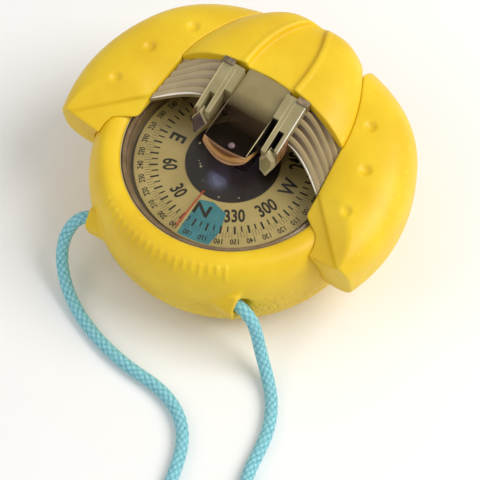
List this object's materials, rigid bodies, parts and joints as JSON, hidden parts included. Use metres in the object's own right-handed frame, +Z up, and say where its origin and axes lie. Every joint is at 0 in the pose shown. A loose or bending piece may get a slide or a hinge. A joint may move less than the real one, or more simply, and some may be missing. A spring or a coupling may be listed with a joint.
{
  "type": "hand bearing compass",
  "caption": "Yellow handheld bearing compass with a soft case, side grips, a hood over a clear prism sight, a printed card in liquid, and a blue neck cord.",
  "frame": {"origin": "centre of the flat base, on the card's axis", "axes": "+Z up out of the window, +Y the direction sighted along, -Y the lubber line and the lanyard"},
  "size_m": [0.1392, 0.1767, 0.0476],
  "materials": {
    "yellow_rubber": "matte",
    "clear_plastic": "gloss",
    "card_print": "matte",
    "dark_plastic": "satin",
    "brown_plastic": "satin",
    "cream_plastic": "satin",
    "glow_plastic": "matte",
    "red_paint": "satin",
    "seal_rubber": "matte",
    "brass": "satin",
    "steel": "satin",
    "jewel_red": "gloss",
    "blue_cord": "matte"
  },
  "bodies": {
    "case": {"bowl_jacket": "yellow_rubber", "left_grip": "yellow_rubber", "right_grip": "yellow_rubber", "hood": "yellow_rubber", "grip_frame": "dark_plastic", "capsule_dome": "clear_plastic", "reading_prism": "clear_plastic", "bezel_ring": "brown_plastic", "lubber_line": "red_paint", "capsule_seal": "seal_rubber", "clamp_screws": "steel", "capsule_base": "cream_plastic", "glow_disc": "glow_plastic", "diaphragm": "seal_rubber", "diaphragm_ring": "brass", "filler_plug": "brass", "filler_seal": "seal_rubber", "pivot_post": "brass", "pivot_needle": "steel", "lanyard_left": "blue_cord", "lanyard_right": "blue_cord", "lanyard_coil": "blue_cord", "coil_tie": "dark_plastic", "lanyard_knot": "blue_cord"},
    "jewel_cup": {"jewel": "jewel_red"},
    "jewel_carrier": {"jewel_mount": "cream_plastic"},
    "card_set": {"hub_cap": "dark_plastic", "card": "card_print", "card_float": "dark_plastic", "magnets": "steel"}
  },
  "joints": [
    {"name": "card_pitch", "type": "hinge", "parent": "case", "child": "jewel_cup", "pos_m": [0, 0, 0.0266], "axis": [1, 0, 0], "range_deg": [-3, 3]},
    {"name": "card_roll", "type": "hinge", "parent": "jewel_cup", "child": "jewel_carrier", "pos_m": [0, 0, 0.0266], "axis": [0, 1, 0], "range_deg": [-3, 3]},
    {"name": "card_spin", "type": "hinge", "parent": "jewel_carrier", "child": "card_set", "pos_m": [0, 0, 0.0266], "axis": [0, 0, 1], "continuous": true}
  ]
}
